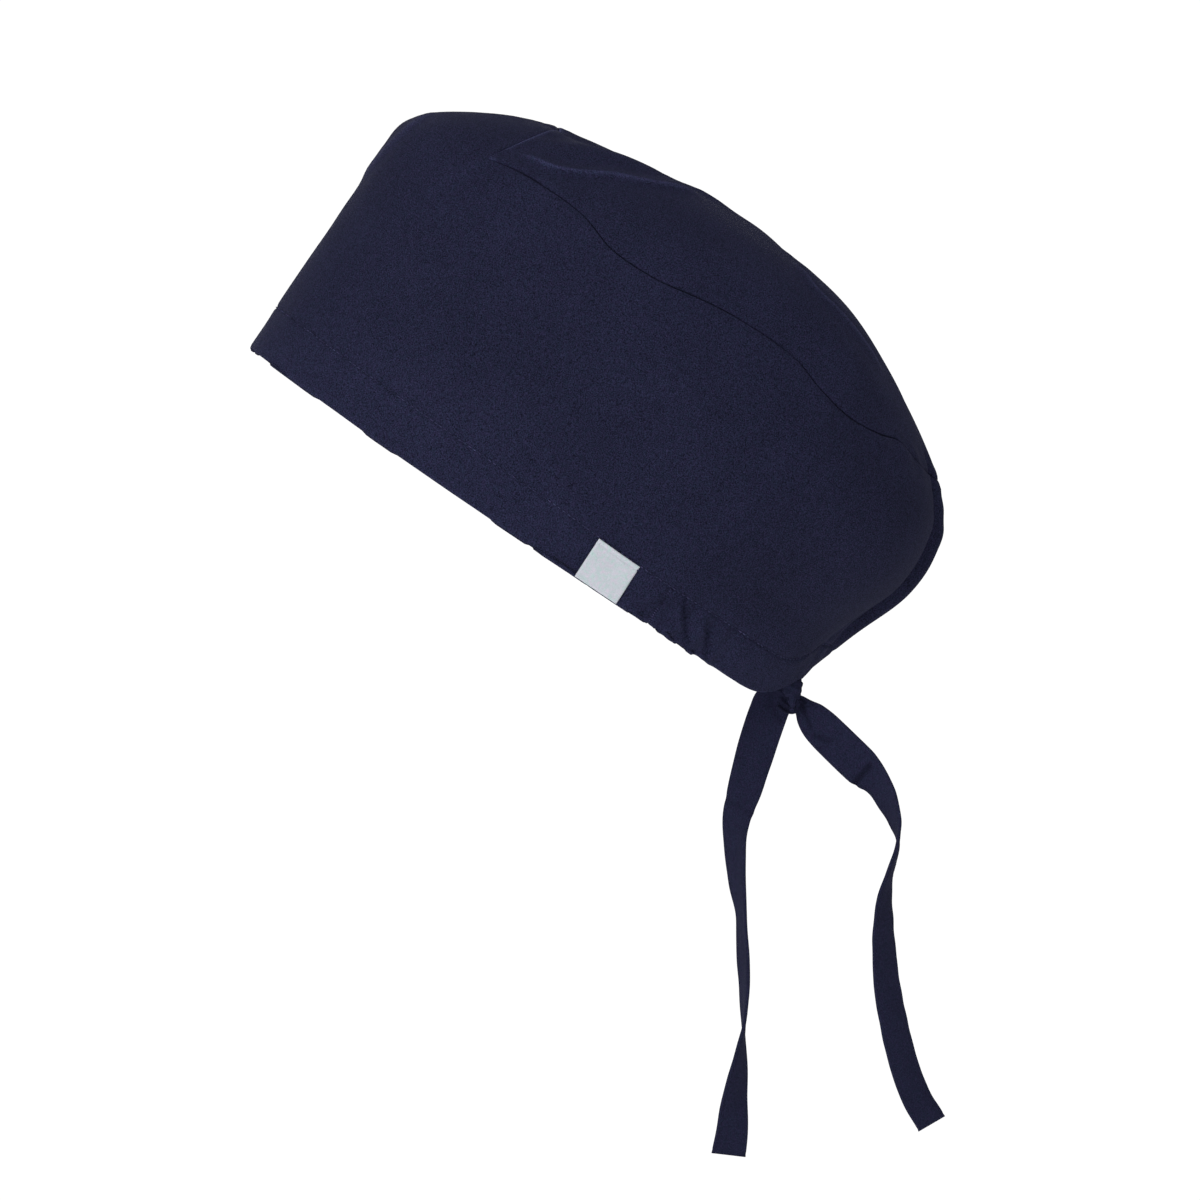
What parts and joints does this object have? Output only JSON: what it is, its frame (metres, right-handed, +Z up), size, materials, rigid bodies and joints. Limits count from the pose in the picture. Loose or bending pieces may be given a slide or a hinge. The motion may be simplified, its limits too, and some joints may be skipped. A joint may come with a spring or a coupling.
{
  "type": "tie-back scrub cap",
  "caption": "Cloth scrub cap: a deep side band with a hem casing round the rim, a domed crown panel, a side label and two ties knotted at the nape.",
  "frame": {"origin": "the seat on the inside of the crown where the top of the head bears, on the cap's middle plane", "axes": "+Z up as worn, -Y towards the forehead, +Y towards the nape and the ties, +X towards the wearer's left, where the label is"},
  "size_m": [0.1592, 0.2437, 0.3659],
  "materials": {
    "cloth": "matt fine navy plain weave",
    "tie_cloth": "matt fine navy plain weave, edge stitched",
    "label_weave": "satin light grey woven tape, bare"
  },
  "bodies": {
    "root": {"side_band": "cloth", "crown_panel": "cloth", "hem_casing": "cloth", "knot": "tie_cloth", "left_tie": "tie_cloth", "right_tie": "tie_cloth", "label": "label_weave"}
  },
  "joints": []
}
